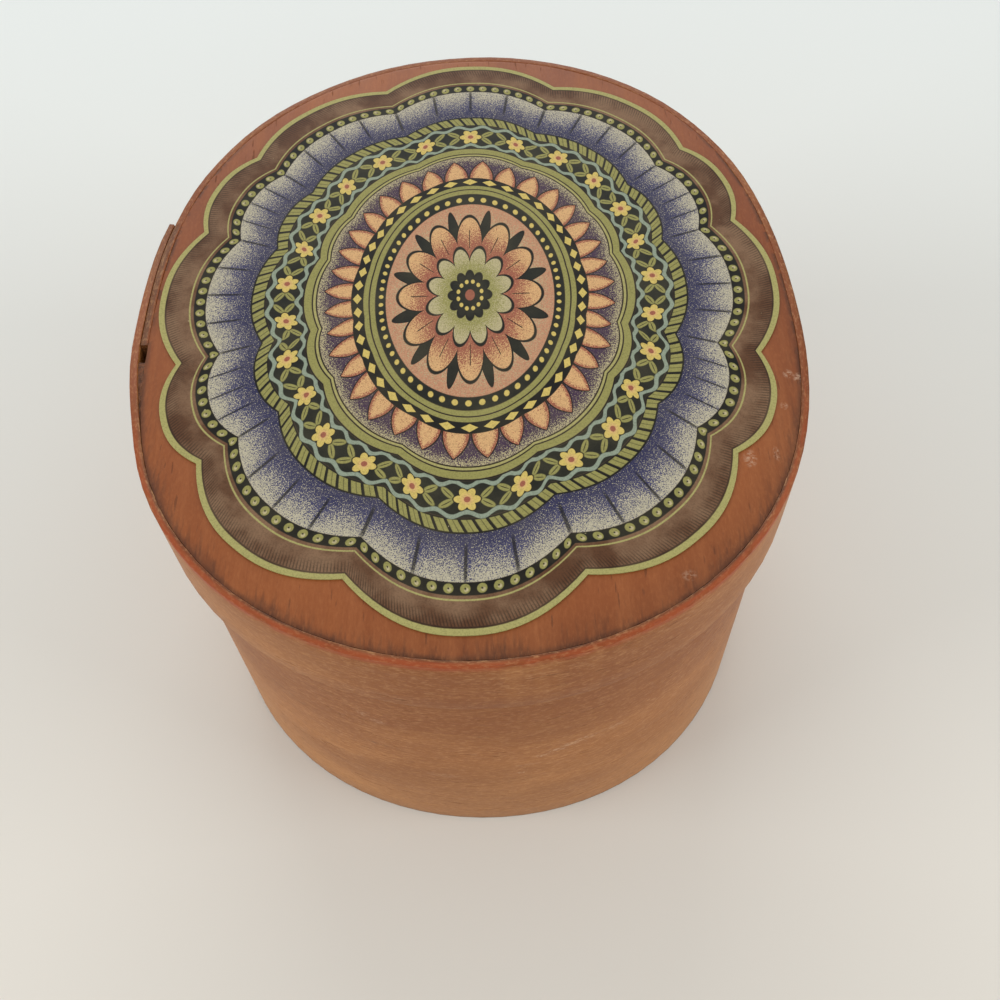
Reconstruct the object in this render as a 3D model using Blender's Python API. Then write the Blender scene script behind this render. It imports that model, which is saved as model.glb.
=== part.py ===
"""Oval bentwood trinket box with a lift-off lid.

Each half is a thin strip of wood, softened with steam, bent round an oval board and glued.
The lid's strip is lapped and its outer end stands proud, while the base's strip is skived at both
ends so that the lid slides over a flush joint. A die-cut paper label covers the lid's board.

Metres, +Z up. The origin is the middle of the underside, and the long axis of the oval is Y.
"""
import math

import bpy

# Oval plan, over the lid band
LENGTH = 0.1079
WIDTH = 0.0900
FULL_CORNERS = 0.00055      # swell of the four diagonals, which flattens the sides between them
HAND_BEND = 0.00055         # three-sided unevenness that is left when a strip is bent by hand
HAND_BEND_AZ = math.radians(82.6)

# Heights
HEIGHT = 0.0600
LID_DEPTH = 0.0120
BOARD_RECESS = 0.0001       # the lid's board lies this far below the band's rim

# Stock
STRIP = 0.0010              # thickness of the bent strips
LID_BOARD = 0.0030
FLOOR_BOARD = 0.0030
PAPER = 0.00015

# Fits
LID_PLAY = 0.0006           # all round, between the lid band and the base band
SEAT_GAP = 0.0003           # between a board and the strip it carries, and under the lid's board
GLUE_LINE = 0.0001          # between the two layers of a lap
GLUE_FILM = 0.00005         # under the paper
EDGE_EASE = 0.0002          # sanded edges of strips and boards

# Lid lap, clockwise seen from above: the strip starts at its inner end, goes once round, climbs
# over its own start and stops at its outer end, which is sanded a little thinner
LAP_INNER_AZ = math.radians(186.0)
LAP_SPAN = math.radians(29.0)
LAP_CLIMB = math.radians(20.0)
LAP_TAPER = math.radians(6.0)
LAP_TIP = 0.00075

# The oval is flattened under the lap, most at its inner end, so the doubled strip hardly bulges
LAP_FLAT = 0.00095
FLAT_BEFORE = math.radians(40.0)
FLAT_AFTER = math.radians(34.0)

# Base lap, hidden at the back: both ends are skived to a thin tip, so neither face has a step
SKIVE_AZ = math.radians(96.0)
SKIVE_SPAN = math.radians(26.0)
SKIVE_TIP = STRIP / 4
SHOULDER = 0.0003           # length of the small step that each tip butts against

# Paper label: twelve lobes that touch an oval, given by the cusps of its +X half as an azimuth
# and a depth inside that oval
LABEL_SIDE_MARGIN = 0.0010
LABEL_END_MARGIN = 0.0008
LABEL_CUSPS = (
    (math.radians(-71.5), 0.0043),
    (math.radians(-37.6), 0.0024),
    (math.radians(-14.5), 0.0030),
    (math.radians(20.9), 0.0025),
    (math.radians(43.1), 0.00165),
    (math.radians(73.5), 0.0029),
)
LOBE_FULLNESS = 2.3         # 2 makes each lobe a parabola, and more gives it fuller shoulders
LABEL_SHIFT = 0.0012        # the label is glued a little towards +Y
LABEL_TURN = math.radians(-0.7)

# Fineness
TURN = 2 * math.pi
TINY = 0.0001               # step in azimuth over which the oval's slope is taken
SEGMENTS = 120
LOBE_POINTS = 9

# Derived places
BASE_OUTSIDE = -(STRIP + LID_PLAY)
LID_BOARD_EDGE = -(STRIP + SEAT_GAP)
FLOOR_EDGE = BASE_OUTSIDE - STRIP - SEAT_GAP
LID_BOARD_LOW = HEIGHT - BOARD_RECESS - LID_BOARD
BASE_BAND_HEIGHT = LID_BOARD_LOW - SEAT_GAP

COLLECTION_NAME = "trinket_box"


def clear_scene():
    """Remove every object, so that the script always starts from nothing."""
    for thing in list(bpy.data.objects):
        bpy.data.objects.remove(thing, do_unlink=True)


def smooth_step(share):
    """Rise from 0 to 1 with no kink at either end."""
    share = min(max(share, 0.0), 1.0)
    return share * share * (3 - 2 * share)


def oval_radius(azimuth):
    """Radius of the lid band's outer face, before the lap's outer layer is added to it."""
    mean = (WIDTH + LENGTH) / 4 + FULL_CORNERS
    past_lap = math.remainder(azimuth - LAP_INNER_AZ, TURN)
    flat = smooth_step(1 - past_lap / FLAT_AFTER if past_lap > 0 else 1 + past_lap / FLAT_BEFORE)
    return (mean + (WIDTH - LENGTH) / 4 * math.cos(2 * azimuth)
            - FULL_CORNERS * math.cos(4 * azimuth)
            + HAND_BEND * math.cos(3 * (azimuth - HAND_BEND_AZ))
            - LAP_FLAT * flat)


def rim_point(azimuth, offset):
    """Point of the oval at an azimuth, moved outwards along its normal by offset."""
    radius = oval_radius(azimuth)
    slope = (oval_radius(azimuth + TINY) - oval_radius(azimuth - TINY)) / (2 * TINY)
    out_x, out_y = math.cos(azimuth), math.sin(azimuth)
    normal_x = radius * out_x + slope * out_y
    normal_y = radius * out_y - slope * out_x
    share = offset / math.hypot(normal_x, normal_y)
    return radius * out_x + share * normal_x, radius * out_y + share * normal_y


def plain_material(name, colour, roughness):
    """Matt material of one colour."""
    material = bpy.data.materials.new(name)
    material.use_nodes = True
    shader = material.node_tree.nodes["Principled BSDF"]
    shader.inputs["Base Color"].default_value = (*colour, 1.0)
    shader.inputs["Roughness"].default_value = roughness
    shader.inputs["Metallic"].default_value = 0.0
    return material


def place(data, height, material, parent, collection):
    """Object named for its data, whose own zero lies at a height above the origin."""
    thing = bpy.data.objects.new(data.name, data)
    data.materials.append(material)
    collection.objects.link(thing)
    thing.parent = parent
    thing.location.z = height - parent.location.z


def strip_section(outer, inner, height):
    """Corners of a strip's cross-section, as offset and height, with its four edges eased."""
    ease = min(EDGE_EASE, (outer - inner) / 4)
    return (
        (outer, ease), (outer, height - ease), (outer - ease, height), (inner + ease, height),
        (inner, height - ease), (inner, ease), (inner + ease, 0.0), (outer - ease, 0.0),
    )


def strip_mesh(name, stations, height):
    """Bent strip: a section at each station, an azimuth with its outer and inner offset, skinned
    from the first station to the last and closed at both ends."""
    points = []
    for azimuth, outer, inner in stations:
        for offset, up in strip_section(outer, inner, height):
            points.append((*rim_point(azimuth, offset), up))
    corners = len(points) // len(stations)
    faces = [tuple(reversed(range(corners))), tuple(range(len(points) - corners, len(points)))]
    for first in range(0, len(points) - corners, corners):
        for corner in range(corners):
            following = (corner + 1) % corners
            faces.append((first + corner, first + following,
                          first + corners + following, first + corners + corner))
    mesh = bpy.data.meshes.new(name)
    mesh.from_pydata(points, [], faces)
    mesh.validate()
    mesh.shade_smooth()
    mesh.set_sharp_from_angle(angle=math.radians(30))
    return mesh


def turns(span, step=TURN / SEGMENTS):
    """Even angles from 0 to span, both ends included."""
    count = math.ceil(span / step - 1e-6)
    return [min(index * step, span) for index in range(count + 1)]


def lid_stations():
    """Lid strip, from its inner end at the lap once round and over itself to its outer end."""
    whole_run = TURN + LAP_SPAN
    stations = []
    for run in turns(whole_run):
        climb = smooth_step(1 - (TURN - run) / LAP_CLIMB) * (STRIP + GLUE_LINE)
        thinning = smooth_step(1 - (whole_run - run) / LAP_TAPER) * (STRIP - LAP_TIP)
        stations.append((LAP_INNER_AZ - run, climb - thinning, climb - STRIP))
    return stations


def base_stations():
    """Base strip, whose two skived ends lie on each other within one thickness."""
    inside = BASE_OUTSIDE - STRIP
    slant_low = inside + SKIVE_TIP
    slant_high = BASE_OUTSIDE - SKIVE_TIP - GLUE_LINE
    taper = [(run, slant_low + (slant_high - slant_low) * run / SKIVE_SPAN)
             for run in turns(SKIVE_SPAN)]
    shoulder = SHOULDER / (WIDTH / 2)
    plain = [SKIVE_SPAN + shoulder + run for run in turns(TURN - SKIVE_SPAN - 2 * shoulder)]
    stations = [(SKIVE_AZ - run, slant, inside) for run, slant in taper]
    stations += [(SKIVE_AZ - run, BASE_OUTSIDE, inside) for run in plain]
    stations += [(SKIVE_AZ - TURN - run, BASE_OUTSIDE, slant + GLUE_LINE) for run, slant in taper]
    return stations


def sheet_curve(name, outline, thickness, edge_ease=0.0):
    """Flat sheet cut to an outline, with its mid-plane at height 0 and its edges eased."""
    ease = min(edge_ease, thickness / 4)
    curve = bpy.data.curves.new(name, "CURVE")
    curve.dimensions = "2D"
    curve.fill_mode = "BOTH"
    curve.extrude = thickness / 2 - ease
    curve.bevel_depth = ease
    curve.bevel_resolution = 0
    curve.offset = -ease
    spline = curve.splines.new("POLY")
    spline.points.add(len(outline) - 1)
    for point, (x, y) in zip(spline.points, outline):
        point.co = (x, y, 0.0, 1.0)
    spline.use_cyclic_u = True
    return curve


def board_outline(offset):
    """Oval outline at an offset from the lid band's outer face."""
    return [rim_point(TURN * index / SEGMENTS, offset) for index in range(SEGMENTS)]


def label_outline():
    """Twelve-lobed outline of the label: each lobe rises from cusp to cusp to touch an oval."""
    half_width = WIDTH / 2 + LID_BOARD_EDGE - LABEL_SIDE_MARGIN
    half_length = LENGTH / 2 + LID_BOARD_EDGE - LABEL_END_MARGIN - LABEL_SHIFT

    def crest_radius(azimuth):
        return 1 / math.hypot(math.cos(azimuth) / half_width, math.sin(azimuth) / half_length)

    def polar(azimuth, radius):
        return radius * math.cos(azimuth), radius * math.sin(azimuth)

    mirrored = [(math.pi - azimuth, depth) for azimuth, depth in reversed(LABEL_CUSPS)]
    cusps = [*LABEL_CUSPS, *mirrored]
    cosine, sine = math.cos(LABEL_TURN), math.sin(LABEL_TURN)
    outline = []
    for index, (azimuth, depth) in enumerate(cusps):
        next_azimuth, next_depth = cusps[(index + 1) % len(cusps)]
        if next_azimuth < azimuth:
            next_azimuth += TURN
        middle = (azimuth + next_azimuth) / 2
        start = polar(azimuth, crest_radius(azimuth) - depth)
        end = polar(next_azimuth, crest_radius(next_azimuth) - next_depth)
        crest = polar(middle, crest_radius(middle))
        for step in range(LOBE_POINTS):
            along = step / LOBE_POINTS
            rise = 1 - abs(2 * along - 1) ** LOBE_FULLNESS
            x, y = (a + (b - a) * along + (c - (a + b) / 2) * rise
                    for a, b, c in zip(start, end, crest))
            outline.append((x * cosine - y * sine, x * sine + y * cosine + LABEL_SHIFT))
    return outline


def guide(name, height, collection):
    """Empty on the box's upright axis, which carries the pieces of one half."""
    empty = bpy.data.objects.new(name, None)
    empty.empty_display_size = WIDTH / 10
    empty.location.z = height
    collection.objects.link(empty)
    return empty


def build():
    """Model the base and the lid at rest, with the lid closed."""
    clear_scene()
    collection = bpy.data.collections.new(COLLECTION_NAME)
    bpy.context.scene.collection.children.link(collection)

    band_wood = plain_material("band_wood", (0.260, 0.112, 0.048), 0.62)
    board_wood = plain_material("board_wood", (0.248, 0.093, 0.034), 0.60)
    floor_wood = plain_material("floor_wood", (0.300, 0.140, 0.062), 0.70)
    printed_paper = plain_material("printed_paper", (0.310, 0.270, 0.150), 0.55)

    base = guide("base_axis", 0.0, collection)
    lid = guide("lid_lift_axis", HEIGHT - LID_DEPTH, collection)

    base_band = strip_mesh("base_band", base_stations(), BASE_BAND_HEIGHT)
    place(base_band, 0.0, band_wood, base, collection)

    base_floor = sheet_curve("base_floor", board_outline(FLOOR_EDGE), FLOOR_BOARD, EDGE_EASE)
    place(base_floor, FLOOR_BOARD / 2, floor_wood, base, collection)

    lid_band = strip_mesh("lid_band", lid_stations(), LID_DEPTH)
    place(lid_band, HEIGHT - LID_DEPTH, band_wood, lid, collection)

    lid_top = sheet_curve("lid_top", board_outline(LID_BOARD_EDGE), LID_BOARD, EDGE_EASE)
    place(lid_top, LID_BOARD_LOW + LID_BOARD / 2, board_wood, lid, collection)

    label_low = HEIGHT - BOARD_RECESS + GLUE_FILM
    paper_label = sheet_curve("paper_label", label_outline(), PAPER)
    place(paper_label, label_low + PAPER / 2, printed_paper, lid, collection)


build()
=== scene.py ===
# %% [markdown]
# # An oval bentwood trinket box
#
# The real box is five thin pieces: a strip of wood bent round the base, an oval floor board, a
# shallower strip bent round the lid, the lid's own oval board, and a die-cut paper label.
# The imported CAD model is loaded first. It is the frame: it says where every piece is and how the
# lid moves. Nothing in it is shifted: this lesson adds the looks.

# %% The frame
import math

import bmesh
import bpy
from mathutils import Matrix, Vector, noise


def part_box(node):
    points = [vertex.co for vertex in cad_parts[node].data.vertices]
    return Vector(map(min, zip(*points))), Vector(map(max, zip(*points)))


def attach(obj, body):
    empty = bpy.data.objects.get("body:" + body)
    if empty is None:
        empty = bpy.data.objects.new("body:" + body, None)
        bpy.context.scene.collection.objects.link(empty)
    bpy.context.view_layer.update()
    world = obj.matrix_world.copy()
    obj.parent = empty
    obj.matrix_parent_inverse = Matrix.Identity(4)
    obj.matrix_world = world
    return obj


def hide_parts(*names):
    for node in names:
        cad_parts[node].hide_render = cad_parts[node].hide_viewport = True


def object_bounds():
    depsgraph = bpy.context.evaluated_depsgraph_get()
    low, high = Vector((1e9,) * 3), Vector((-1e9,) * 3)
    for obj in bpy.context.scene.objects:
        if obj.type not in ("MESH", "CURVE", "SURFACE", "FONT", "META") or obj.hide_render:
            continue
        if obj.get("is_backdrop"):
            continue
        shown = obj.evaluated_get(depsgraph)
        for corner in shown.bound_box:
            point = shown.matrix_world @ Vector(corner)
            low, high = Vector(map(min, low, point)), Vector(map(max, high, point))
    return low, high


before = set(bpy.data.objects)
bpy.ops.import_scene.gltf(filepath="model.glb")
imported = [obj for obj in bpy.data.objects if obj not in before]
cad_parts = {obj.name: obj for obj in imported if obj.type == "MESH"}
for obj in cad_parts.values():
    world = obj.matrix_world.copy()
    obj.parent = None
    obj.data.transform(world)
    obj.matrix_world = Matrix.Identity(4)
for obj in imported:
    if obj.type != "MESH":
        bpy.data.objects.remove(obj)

cad_low, cad_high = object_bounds()


def show(what, *lengths):
    """Print lengths in millimetres."""
    print(what, *(round(1000 * length, 2) for length in lengths), "mm")


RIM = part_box("lid_band")[1].z
LID_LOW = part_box("lid_band")[0].z
BASE_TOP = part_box("base_band")[1].z
BOARD_LOW, BOARD_TOP = (corner.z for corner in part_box("lid_top"))
FLOOR_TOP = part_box("base_floor")[1].z
LABEL_LOW, LABEL_TOP = (corner.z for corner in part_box("paper_label"))
show("CAD box:", *(cad_high - cad_low))

# %% [markdown]
# ## The oval
#
# Strips bent by hand never follow a true ellipse. This is an ellipse-like curve with a little
# three-sided unevenness, flattened where the lid's strip doubles over itself. The same few
# numbers shape the CAD pieces, so the pieces here fall in the same place. Every board and strip
# is this one oval at some offset along its normal, which a second helper gives.

# %% The oval's radius and its offsets
LENGTH, WIDTH = 0.1079, 0.0900
FULL_CORNERS = 0.00055
HAND_BEND, HAND_BEND_AZ = 0.00055, math.radians(82.6)
LAP_INNER_AZ = math.radians(186.0)
LAP_FLAT, FLAT_BEFORE, FLAT_AFTER = 0.00095, math.radians(40.0), math.radians(34.0)
TURN = 2 * math.pi
TINY = 0.0001
MM = 0.001


def smooth_step(share):
    """Rise from 0 to 1 with no kink at either end."""
    share = min(max(share, 0.0), 1.0)
    return share * share * (3 - 2 * share)


def oval_radius(azimuth):
    """Radius of the lid band's outer face, without the lap's outer layer."""
    past_lap = math.remainder(azimuth - LAP_INNER_AZ, TURN)
    flat = smooth_step(1 - past_lap / FLAT_AFTER if past_lap > 0 else 1 + past_lap / FLAT_BEFORE)
    return ((WIDTH + LENGTH) / 4 + FULL_CORNERS + (WIDTH - LENGTH) / 4 * math.cos(2 * azimuth)
            - FULL_CORNERS * math.cos(4 * azimuth)
            + HAND_BEND * math.cos(3 * (azimuth - HAND_BEND_AZ)) - LAP_FLAT * flat)


def rim_point(azimuth, offset):
    """Point of the oval at an azimuth, moved outwards by an offset."""
    radius = oval_radius(azimuth)
    slope = (oval_radius(azimuth + TINY) - oval_radius(azimuth - TINY)) / (2 * TINY)
    out_x, out_y = math.cos(azimuth), math.sin(azimuth)
    normal = Vector((radius * out_x + slope * out_y, radius * out_y - slope * out_x, 0))
    return radius * Vector((out_x, out_y, 0)) + offset * normal.normalized()


show("Oval, half length and half width:", oval_radius(math.pi / 2), oval_radius(0))

# %% [markdown]
# ## Camera
#
# The photograph was taken by hand from above the front of the box. The place, aim and tilt below
# put the rim, the base and the lap where they are in it. A camera looks along its own -Z with
# +Y up, so its axes are worked out from the aim and set as the columns of its matrix.

# %% Camera
CAMERA_PLACE = Vector((0.00530, -0.10617, 0.17688))
CAMERA_YAW, CAMERA_PITCH, CAMERA_ROLL = (math.radians(angle) for angle in (-1.149, 57.34, -2.687))
CAMERA_LENS, CAMERA_NEAREST = 40.97, 0.01

aim = Vector((math.sin(CAMERA_YAW) * math.cos(CAMERA_PITCH),
              math.cos(CAMERA_YAW) * math.cos(CAMERA_PITCH), -math.sin(CAMERA_PITCH)))
level = Vector((math.cos(CAMERA_YAW), -math.sin(CAMERA_YAW), 0))
upright = level.cross(aim)
right = math.cos(CAMERA_ROLL) * level + math.sin(CAMERA_ROLL) * upright
up = math.cos(CAMERA_ROLL) * upright - math.sin(CAMERA_ROLL) * level

camera_data = bpy.data.cameras.new("camera")
camera_data.lens = CAMERA_LENS
camera_data.clip_start = CAMERA_NEAREST
camera = bpy.data.objects.new("camera", camera_data)
bpy.context.scene.collection.objects.link(camera)
camera.matrix_world = (Matrix.Translation(CAMERA_PLACE)
                       @ Matrix((right, up, -aim)).transposed().to_4x4())
bpy.context.scene.camera = camera
bpy.context.scene.view_settings.view_transform = "Standard"
show("Camera to the lid:", (CAMERA_PLACE - Vector((0, 0, RIM))).length)

# %% [markdown]
# ## Modelling helpers
#
# Operators act on whatever is selected, so each piece starts with nothing selected.
# In edit mode, the edges to work on are picked by a small test of their place and direction.

# %% Selecting and finishing
SMOOTH_BELOW = math.radians(35)


def set_mode(mode):
    """Enter edit mode or object mode."""
    bpy.ops.object.mode_set(mode=mode)


def clear_selection():
    """Deselect every object."""
    bpy.ops.object.select_all(action="DESELECT")


def name_piece(name):
    """Name the object that was just added, and put its size and place in its mesh."""
    piece = bpy.context.object
    piece.name = piece.data.name = name
    bpy.ops.object.transform_apply(location=True, rotation=True, scale=True)
    return piece


def pick(piece, kind, test):
    """Select the edges or the faces that pass a test."""
    bpy.ops.mesh.select_mode(type=kind)
    bpy.ops.mesh.select_all(action="DESELECT")
    shape = bmesh.from_edit_mesh(piece.data)
    for part in {"EDGE": shape.edges, "FACE": shape.faces}[kind]:
        if test(part):
            part.select_set(True)
    bmesh.update_edit_mesh(piece.data)


def pick_edges(piece, test):
    """Select the edges whose middle and direction pass a test."""
    def passes(edge):
        start, end = (corner.co for corner in edge.verts)
        return test((start + end) / 2, (end - start).normalized())

    pick(piece, "EDGE", passes)


def move_points(piece, place):
    """Send each vertex to the place that a function gives for it."""
    for vertex in piece.data.vertices:
        vertex.co = place(vertex.co)
    piece.data.update()


def finish_piece(piece, body, node, material):
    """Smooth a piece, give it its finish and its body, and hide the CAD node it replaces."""
    bpy.ops.object.shade_smooth_by_angle(angle=SMOOTH_BELOW)
    piece.data.materials.clear()
    piece.data.materials.append(material)
    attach(piece, body)
    if node:
        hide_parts(node)
    show(piece.name + ":", *piece.dimensions)


print("Helpers ready")

# %% [markdown]
# ## Shader maths
#
# A procedural finish is mostly arithmetic on positions. To write it as arithmetic, one small class
# wraps a socket: adding or multiplying two of them adds the Math node that does it. Any other
# node comes from its method `node`, which sets the node's settings first and then its sockets.

# %% A value in a material


class Value:
    """A socket that can stand in Python expressions."""

    def __init__(self, tree, socket):
        self.tree = tree
        self.socket = socket

    def node(self, kind, sockets, output=0, **settings):
        """Add a node, with its settings and the values or links of its sockets."""
        made = self.tree.nodes.new("ShaderNode" + kind)
        for name, setting in settings.items():
            setattr(made, name, setting)
        for name, given in sockets.items():
            if isinstance(given, Value):
                self.tree.links.new(given.socket, made.inputs[name])
            else:
                made.inputs[name].default_value = given
        return Value(self.tree, made.outputs[output])

    def math(self, operation, *others):
        """Math node of this value and up to two others."""
        return self.node("Math", dict(enumerate((self, *others))), operation=operation)

    def __add__(self, other):
        return self.math("ADD", other)

    def __sub__(self, other):
        return self.math("SUBTRACT", other)

    def __mul__(self, other):
        return self.math("MULTIPLY", other)

    def __rsub__(self, other):
        return self * -1 + other

    def __pow__(self, other):
        return self.math("POWER", other)

    def __abs__(self):
        return self.math("ABSOLUTE")

    __radd__ = __add__
    __rmul__ = __mul__

    def ramp(self, low, high):
        """0 up to low, 1 from high, and a smooth rise between."""
        sockets = {0: self, 1: low, 2: high, 3: 0.0, 4: 1.0}
        return self.node("MapRange", sockets, interpolation_type="SMOOTHSTEP")

    def between(self, low, high, soft):
        """1 between two limits and 0 outside, with soft edges."""
        return self.ramp(low - soft, low + soft) * (1 - self.ramp(high - soft, high + soft))

    def mixed(self, first, second):
        """The first colour where this value is 0, and the second where it is 1."""
        return self.node("Mix", {0: self, 6: first, 7: second}, output=2, data_type="RGBA")

    def paint(self, mask, colour):
        """This colour with another laid over it where a mask is 1."""
        return mask.mixed(self, colour)

    def parts(self):
        """The X, Y and Z of a vector."""
        return [self.node("SeparateXYZ", {0: self}, output=axis) for axis in range(3)]

    def grain(self, scale, detail=2.0, roughness=0.5):
        """Noise read at this vector."""
        sockets = {"Vector": self, "Scale": scale, "Detail": detail, "Roughness": roughness}
        return self.node("TexNoise", sockets)


print("Shader maths ready")

# %% [markdown]
# A finish starts as an empty material. Its colours are written as they look on a screen, and its
# relief is a bump of a real depth, so both can be compared with the real box.

# %% Colours, empty finishes and relief


def srgb(red, green, blue):
    """A screen colour of 0 to 255, as the linear one that shaders use."""
    linear = [(c / 255 / 12.92) if c < 11 else ((c / 255 + 0.055) / 1.055) ** 2.4
              for c in (red, green, blue)]
    return (*linear, 1.0)


def new_finish(name):
    """Empty material: its shader node, and a value to start expressions from."""
    material = bpy.data.materials.new(name)
    material.use_nodes = True
    tree = material.node_tree
    start = Value(tree, tree.nodes.new("ShaderNodeTexCoord").outputs["Object"])
    return material, tree.nodes["Principled BSDF"], start


def feed(shader, name, value):
    """Link a value to a socket of the shader."""
    value.tree.links.new(value.socket, shader.inputs[name])


def relief(value, depth):
    """Bump of a real depth in metres."""
    return value.node("Bump", {"Height": value, "Distance": depth, "Strength": 1.0})


print("Finish helpers ready")

# %% [markdown]
# ## Stained wood
#
# Strips and boards are a fine, even wood under a thin red-brown stain that has dulled with age.
# Close up it shows long soft streaks, short dark pores, a fine mottle of paler and darker fibres,
# and broad patches where the stain took unevenly. Each is a noise in metres, stretched along the
# grain by its own amount, so the scale is that of the real wood. A bent strip keeps the grain it
# had when it was flat, so it reads its flat coordinates, which it holds as an attribute.
# Wear, painted shade and painted light differ from piece to piece, so a piece can hand over
# functions that paint its own marks.

# %% Wood finish
STRIP_GRAIN, BOARD_GRAIN = (0.20, 0.35, 0.26), (0.28, 0.20, 0.14)
WOOD_GLOSS = 0.30
GRAIN_DEPTH = 0.05 * MM


def wood_finish(name, tones, grain_seed, bent=False, extra=None, last=None):
    """Stained wood. Bent wood's grain runs along the flat strip's X, and a board's along Y.
    Marks of wear, painted shade and painted light are laid by `extra` under the fine grain, and by
    `last` over it."""
    figure, fibre, fleck = STRIP_GRAIN if bent else BOARD_GRAIN
    material, shader, start = new_finish(name)
    if bent:
        start = start.node("Attribute", {}, output=1, attribute_name="flat")
    x, y, z = start.parts()
    along, across = (x, z) if bent else (y, x)
    depth = y if bent else z

    def stretched(long_scale, fine_scale, shift=0.0):
        sockets = {0: along * long_scale + (grain_seed + shift),
                   1: across * fine_scale + shift, 2: depth * fine_scale}
        return start.node("CombineXYZ", sockets)

    patches = stretched(22, 60).grain(1.0, 3.0, 0.55)
    streaks = stretched(60 if bent else 30, 900 if bent else 420, 3.1).grain(1.0, 4.0, 0.6)
    fibres = stretched(260, 2100, 7.7).grain(1.0, 3.0, 0.6)
    pores = stretched(330, 2600, 11.3).grain(1.0, 1.0, 0.5).ramp(0.66, 0.74)
    pores = pores * stretched(40, 300, 5.9).grain(1.0, 2.0, 0.5).ramp(0.42, 0.58)
    rubbed = stretched(900, 3200, 19.3).grain(1.0, 2.0, 0.5).ramp(0.58, 0.70)
    mottle = stretched(1300, 3000, 27.1).grain(1.0, 3.0, 0.65)

    dark, middle, light, pore = tones
    colour = patches.ramp(0.30, 0.70).mixed(dark, middle)
    if extra:
        colour = extra(colour, x, y, z)
    colour = colour.paint(streaks.ramp(0.45, 0.75) * figure, light)
    colour = colour.paint((1 - fibres.ramp(0.30, 0.52)) * fibre, dark)
    colour = colour.paint(pores * 0.45, pore)
    colour = colour.paint(mottle.ramp(0.48, 0.66) * fleck, light)
    colour = colour.paint((1 - mottle.ramp(0.34, 0.52)) * fleck, dark)
    colour = colour.paint(rubbed * patches.ramp(0.40, 0.62) * (fleck * 1.4), light)
    if last:
        colour = last(colour, x, y, z)
    shader.inputs["Specular IOR Level"].default_value = WOOD_GLOSS
    feed(shader, "Base Color", colour)
    feed(shader, "Roughness", 0.40 + streaks * 0.16 + pores * 0.15)
    height = fibres * 0.5 + streaks * 0.5 - pores * 0.6
    feed(shader, "Normal", relief(height, GRAIN_DEPTH))
    print(name, "has nodes:", len(material.node_tree.nodes))
    return material


show("Wood finish ready, relief:", GRAIN_DEPTH)

# %% [markdown]
# ### Tones and worn spots
#
# A wood's four tones are its dark, its middle, its light and its pores. A scrape could be cut
# into the wood, but its depth doesn't show, so it is a painted oval, broken up by the fibres.

# %% Tones and worn spots
BAND_TONES = srgb(140, 83, 34), srgb(169, 109, 54), srgb(202, 150, 100), srgb(86, 50, 26)
BOARD_TONES = srgb(124, 61, 20), srgb(148, 82, 37), srgb(168, 102, 56), srgb(64, 36, 20)
FLOOR_TONES = srgb(140, 92, 56), srgb(156, 108, 72), srgb(178, 132, 92), srgb(90, 56, 34)
# The third tone here is painted shade, laid on the front of the lid's strip and the upper part of
# the base. The second is grime, and also the painted shadow where the base stands on the floor.
SCUFF, GRIME_AND_SHADE, PAINTED_SHADE = srgb(206, 176, 148), srgb(70, 38, 19), srgb(130, 69, 17)


def smudge(x, y, x_scale, y_scale, seed, detail=3.0, roughness=0.6):
    """Noise over two coordinates, each at its own scale."""
    sockets = {0: x * x_scale, 1: y * y_scale, 2: seed}
    return x.node("CombineXYZ", sockets).grain(1.0, detail, roughness)


def worn_spots(colour, x, y, spots, ink):
    """Paint ovals of wear. A spot has two coordinates and two half sizes in mm, and a strength."""
    broken = smudge(x, y, 2200, 3000, 6.6).ramp(0.40, 0.62)
    for place_x, place_y, half_x, half_y, strength in spots:
        from_x = (x - place_x * MM) * (1 / (half_x * MM))
        from_y = (y - place_y * MM) * (1 / (half_y * MM))
        spot = from_x ** 2.0 + from_y ** 2.0
        colour = colour.paint((1 - spot.ramp(0.0, 1.0)) * broken * strength, ink)
    return colour


floor_wood = wood_finish("floor_wood", FLOOR_TONES, 9.0)

# %% [markdown]
# ## The bent strips
#
# The maker planes a long thin strip, softens it in steam and bends it round an oval former.
# It could be modelled as a ring straight away, but then grain, eased edges and lap would all have
# to be bent by formula. Instead the strip is made flat, as the real one is: a long cube, cut into
# short lengths, with its long edges bevelled. Its flat coordinates are kept for the grain, its
# ends are thinned while it is still flat, and a Curve modifier then bends it.

# %% Flat strips and bending
STRIP = 0.0010
EDGE_EASE = 0.11 * MM
STATION = 1.2 * MM
ROW = 4.0 * MM
STEPS_PER_TURN = 720


def flat_strip(name, length, height):
    """Straight strip, X along its length, Y outwards through its thickness, Z up."""
    clear_selection()
    bpy.ops.mesh.primitive_cube_add(size=1, location=(length / 2, 0, height / 2),
                                    scale=(length, STRIP, height))
    strip = name_piece(name)
    set_mode("EDIT")
    pick_edges(strip, lambda middle, way: abs(way.z) > 0.5)
    bpy.ops.mesh.subdivide(number_cuts=round(height / ROW))
    pick_edges(strip, lambda middle, way: abs(way.x) > 0.5
               and min(middle.z, height - middle.z) < TINY)
    bpy.ops.mesh.bevel(offset=EDGE_EASE, segments=3, affect="EDGES")
    pick_edges(strip, lambda middle, way: abs(way.x) > 0.5)
    bpy.ops.mesh.subdivide(number_cuts=round(length / STATION))
    set_mode("OBJECT")
    return strip


def keep_flat_place(strip, shift):
    """Store each vertex's flat coordinates, which the grain follows after bending."""
    flat = strip.data.attributes.new("flat", "FLOAT_VECTOR", "POINT")
    for vertex, kept in zip(strip.data.vertices, flat.data):
        kept.vector = vertex.co + shift


def path_length(points):
    """Length of a line through points."""
    return sum((b - a).length for a, b in zip(points, points[1:]))


def run_points(start_azimuth, span, offset_at):
    """Points clockwise from an azimuth, over a span, at the offset a function gives."""
    count = round(STEPS_PER_TURN * span / TURN)
    return [rim_point(start_azimuth - span * step / count, offset_at(span * step / count))
            for step in range(count + 1)]


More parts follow.
